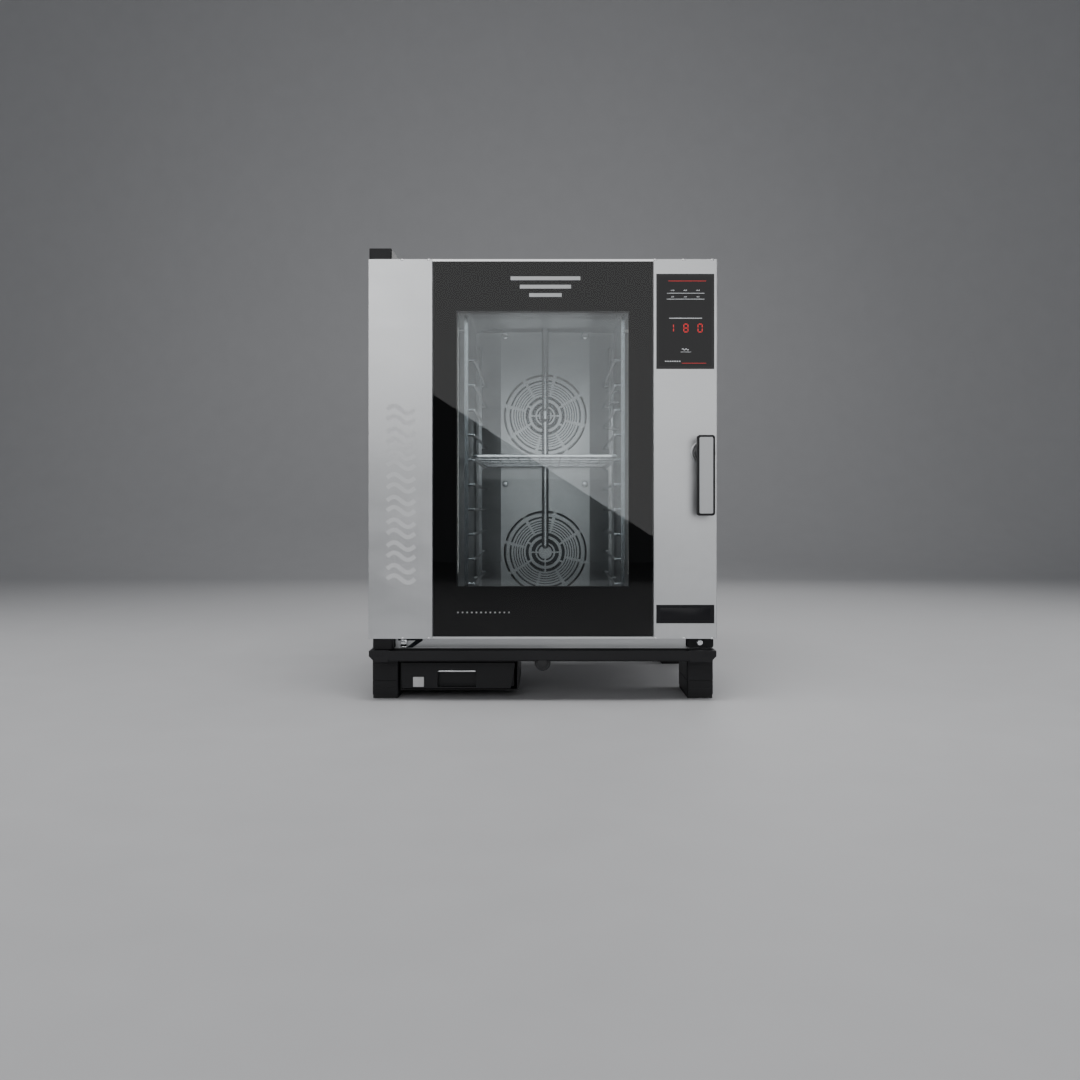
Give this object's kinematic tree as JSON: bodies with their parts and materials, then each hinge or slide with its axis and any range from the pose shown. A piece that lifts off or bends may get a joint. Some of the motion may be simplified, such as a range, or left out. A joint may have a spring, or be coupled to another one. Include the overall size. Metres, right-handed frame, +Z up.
{
  "type": "combi steamer oven",
  "caption": "Countertop combi steamer oven with a left-hinged glazed door, turning handle, rail racks, wire shelf, twin fans, drip gutter and detergent drawer.",
  "frame": {"origin": "middle of the bounding box on the surface that the foot pads stand on", "axes": "+Z up, +X to the right as seen from the front, -Y towards the cook"},
  "size_m": [0.75, 0.855, 1.01],
  "materials": {
    "satin_steel": "fine satin stainless sheet, vertical grain",
    "cavity_steel": "smooth stainless sheet of the cooking space",
    "rod_steel": "electropolished stainless rod",
    "bright_trim": "polished edge strip",
    "machined_steel": "plain machined or pressed steel",
    "bush_bronze": "plain bearing bronze",
    "pipe_steel": "stainless pipe",
    "valve_brass": "brass valve body and threads",
    "heater_steel": "heat-darkened heater tube",
    "motor_paint": "dark painted motor housing",
    "wool": "mineral wool",
    "electronics": "circuit board and contactors",
    "clear_glass": "clear toughened pane",
    "outer_glass": "grey-tinted outer pane with a black printed border",
    "frame_black": "black coated steel",
    "display_black": "glossy black panel",
    "moulded_black": "moulded black plastic",
    "handle_steel": "satin steel inlay",
    "seal_rubber": "silicone seal",
    "pad_rubber": "rubber foot pad"
  },
  "bodies": {
    "casing": {"base_pan": "satin_steel", "front_frame": "satin_steel", "cavity_liner": "cavity_steel", "insulation_jacket": "wool", "left_side_panel": "satin_steel", "right_side_panel": "satin_steel", "top_cover": "satin_steel", "rear_panel": "satin_steel", "lower_apron": "satin_steel", "front_legs": "moulded_black", "rear_legs": "moulded_black", "rubber_pads": "pad_rubber", "drip_gutter": "moulded_black", "gutter_end_caps": "moulded_black", "drawer_housing": "moulded_black", "upper_hinge_bracket": "machined_steel", "upper_hinge_cover": "moulded_black", "lower_hinge_bracket": "machined_steel", "lower_hinge_cover": "moulded_black", "hinge_pins": "machined_steel", "door_stop_arm": "frame_black", "corner_plate": "moulded_black", "door_gasket": "seal_rubber", "latch_keeper": "machined_steel", "rack_left": "rod_steel", "rack_right": "rod_steel", "fan_guard": "cavity_steel", "ring_heaters": "heater_steel", "steam_pipe": "rod_steel", "fan_motors": "motor_paint", "cooling_fan_frame": "moulded_black", "drain_pipe": "pipe_steel", "water_valve": "valve_brass", "exhaust_chimney": "pipe_steel", "control_electronics": "electronics", "cable_gland": "moulded_black", "casing_screws": "machined_steel"},
    "door": {"door_frame": "frame_black", "outer_glass": "outer_glass", "middle_glass": "clear_glass", "inner_glass": "clear_glass", "door_inner_panel": "satin_steel", "left_door_cover": "satin_steel", "right_door_cover": "satin_steel", "glass_trims": "bright_trim", "display_panel": "display_black", "port_plate": "display_black", "pivot_blocks": "machined_steel", "hinge_bushes": "bush_bronze", "handle_bearing": "bush_bronze"},
    "handle": {"handle_bar": "moulded_black", "handle_insert": "handle_steel", "handle_spindle": "machined_steel", "latch_cam": "machined_steel"},
    "upper_fan": {"upper_impeller": "machined_steel"},
    "lower_fan": {"lower_impeller": "machined_steel"},
    "cooling_rotor": {"cooling_fan_rotor": "moulded_black"},
    "shelf": {"wire_shelf": "rod_steel"},
    "drawer": {"drawer_front": "moulded_black", "drawer_tub": "moulded_black"}
  },
  "joints": [
    {"name": "door_hinge", "type": "hinge", "parent": "casing", "child": "door", "pos_m": [-0.357, -0.3535, 0.5], "axis": [0, 0, -1], "range_deg": [0, 180]},
    {"name": "handle_turn", "type": "hinge", "parent": "door", "child": "handle", "pos_m": [0.345, -0.3755, 0.535], "axis": [0, 1, 0], "range_deg": [0, 90]},
    {"name": "upper_fan_spin", "type": "hinge", "parent": "casing", "child": "upper_fan", "pos_m": [0.004, 0.2745, 0.6685], "axis": [0, 1, 0], "continuous": true},
    {"name": "lower_fan_spin", "type": "hinge", "parent": "casing", "child": "lower_fan", "pos_m": [0.004, 0.2745, 0.2988], "axis": [0, 1, 0], "continuous": true},
    {"name": "cooling_fan_spin", "type": "hinge", "parent": "casing", "child": "cooling_rotor", "pos_m": [0.309, 0.3945, 0.26], "axis": [0, 1, 0], "continuous": true},
    {"name": "shelf_slide", "type": "slide", "parent": "casing", "child": "shelf", "axis": [0, -1, 0], "range_m": [0, 0.01]},
    {"name": "drawer_slide", "type": "slide", "parent": "casing", "child": "drawer", "axis": [0, -1, 0], "range_m": [0, 0.22]}
  ]
}
